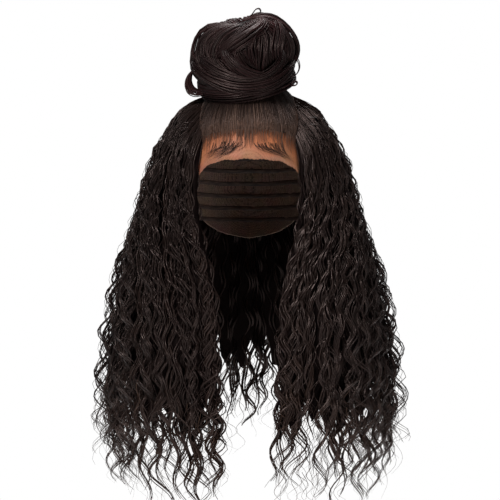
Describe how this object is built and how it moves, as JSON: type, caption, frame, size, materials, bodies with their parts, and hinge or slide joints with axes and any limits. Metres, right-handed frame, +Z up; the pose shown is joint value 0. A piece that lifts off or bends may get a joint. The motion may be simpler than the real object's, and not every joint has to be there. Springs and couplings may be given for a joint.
{
  "type": "lace front wig",
  "caption": "Lace front wig in long dark waves, dressed half-up: the crown is swept into a high wrapped bun and the rest falls round an open face, in worn form.",
  "frame": {"origin": "top of the wearer's crown, on the inside of the cap, where a head carries the wig", "axes": "+Z up through the bun, -Y out of the face opening, +X to the right of someone who faces the wig"},
  "size_m": [0.3339, 0.2444, 0.5533],
  "materials": {
    "lace": "sheer tulle net, skin-brown",
    "cap_net": "stretch net with rows of weft, matte",
    "swept_hair": "combed hair, satin sheen",
    "bun_hair": "coiled hair, satin sheen",
    "long_hair": "curly hair, satin sheen"
  },
  "bodies": {
    "root": {"lace_front": "lace", "wig_cap": "cap_net", "swept_crown": "swept_hair", "top_bun": "bun_hair", "bun_wrap": "bun_hair", "fall_left": "long_hair", "fall_back_left": "long_hair", "fall_back_right": "long_hair", "fall_right": "long_hair"}
  },
  "joints": []
}
